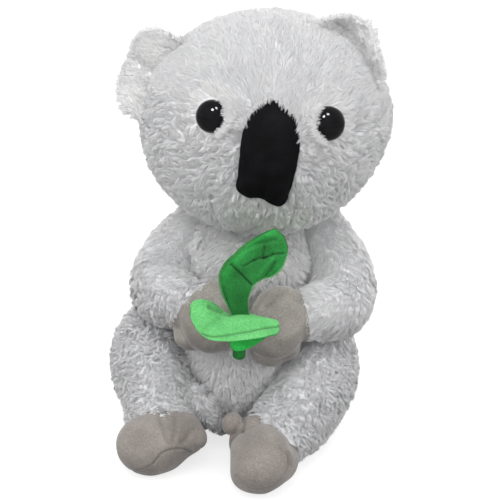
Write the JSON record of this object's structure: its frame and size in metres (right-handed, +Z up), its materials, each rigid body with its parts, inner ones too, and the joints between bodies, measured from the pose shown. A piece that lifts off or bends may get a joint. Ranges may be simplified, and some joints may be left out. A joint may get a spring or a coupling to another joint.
{
  "type": "plush koala",
  "caption": "Sitting plush koala with a big round head, cupped ears, suede paws and feet, and a stuffed leafy sprig held between its paws.",
  "frame": {"origin": "on the flat seat, on the upright axis of the torso", "axes": "+Z up, the koala faces -Y, its left side is +X"},
  "size_m": [0.1829, 0.1958, 0.3016],
  "materials": {
    "grey_fur": "soft curly pile",
    "white_fur": "soft pile",
    "taupe_suede": "brushed suede cloth",
    "black_velour": "short matt velour",
    "eye_gloss": "polished",
    "washer_plastic": "moulded",
    "light_green_plush": "short pile",
    "dark_green_plush": "short pile",
    "stuffing": "loose fibre",
    "pellet_cloth": "plain weave"
  },
  "bodies": {
    "torso": {"torso_skin": "grey_fur", "belly_panel": "white_fur", "torso_fill": "stuffing", "seat_pellet_bag": "pellet_cloth"},
    "head": {"head_skin": "grey_fur", "muzzle_panel": "white_fur", "nose": "black_velour", "head_fill": "stuffing", "eye_patch_left": "white_fur", "eye_patch_right": "white_fur", "eye_left": "eye_gloss", "eye_right": "eye_gloss", "eye_washer_left": "washer_plastic", "eye_washer_right": "washer_plastic"},
    "ear_left": {"ear_left_front": "white_fur", "ear_left_back": "grey_fur"},
    "ear_right": {"ear_right_front": "white_fur", "ear_right_back": "grey_fur"},
    "arms": {"arm_left_sleeve": "grey_fur", "arm_right_sleeve": "grey_fur", "paw_left": "taupe_suede", "paw_right": "taupe_suede", "arm_left_fill": "stuffing", "arm_right_fill": "stuffing", "sprig_stem": "dark_green_plush", "leaf_upper_face": "dark_green_plush", "leaf_upper_back": "light_green_plush", "leaf_lower_face": "light_green_plush", "leaf_lower_back": "dark_green_plush"},
    "leg_left": {"leg_left_skin": "grey_fur", "foot_left_upper": "taupe_suede", "foot_left_sole": "taupe_suede", "leg_left_fill": "stuffing"},
    "leg_right": {"leg_right_skin": "grey_fur", "foot_right_upper": "taupe_suede", "foot_right_sole": "taupe_suede", "leg_right_fill": "stuffing"}
  },
  "joints": [
    {"name": "head_turn", "type": "hinge", "parent": "torso", "child": "head", "pos_m": [0, 0, 0.166], "axis": [0, 0, 1], "range_deg": [-12, 12], "stiffness_Nm_per_rad": 0.4},
    {"name": "ear_left_fold", "type": "hinge", "parent": "head", "child": "ear_left", "pos_m": [0.0621, -0.01072, 0.28021], "axis": [-0.7782, 0.1994, 0.5955], "range_deg": [-10, 10], "stiffness_Nm_per_rad": 0.02},
    {"name": "ear_right_fold", "type": "hinge", "parent": "head", "child": "ear_right", "pos_m": [-0.07044, -0.0192, 0.25144], "axis": [0.4162, 0.2052, 0.8858], "range_deg": [-10, 10], "stiffness_Nm_per_rad": 0.02},
    {"name": "arms_lift", "type": "hinge", "parent": "torso", "child": "arms", "pos_m": [0.003, 0, 0.143], "axis": [-1, 0, 0], "range_deg": [0, 6], "stiffness_Nm_per_rad": 0.8},
    {"name": "leg_left_spread", "type": "hinge", "parent": "torso", "child": "leg_left", "pos_m": [0.044, 0, 0.046], "axis": [0, 0, 1], "range_deg": [0, 12], "stiffness_Nm_per_rad": 0.3},
    {"name": "leg_right_spread", "type": "hinge", "parent": "torso", "child": "leg_right", "pos_m": [-0.044, 0, 0.046], "axis": [0, 0, 1], "range_deg": [-12, 0], "stiffness_Nm_per_rad": 0.3}
  ]
}
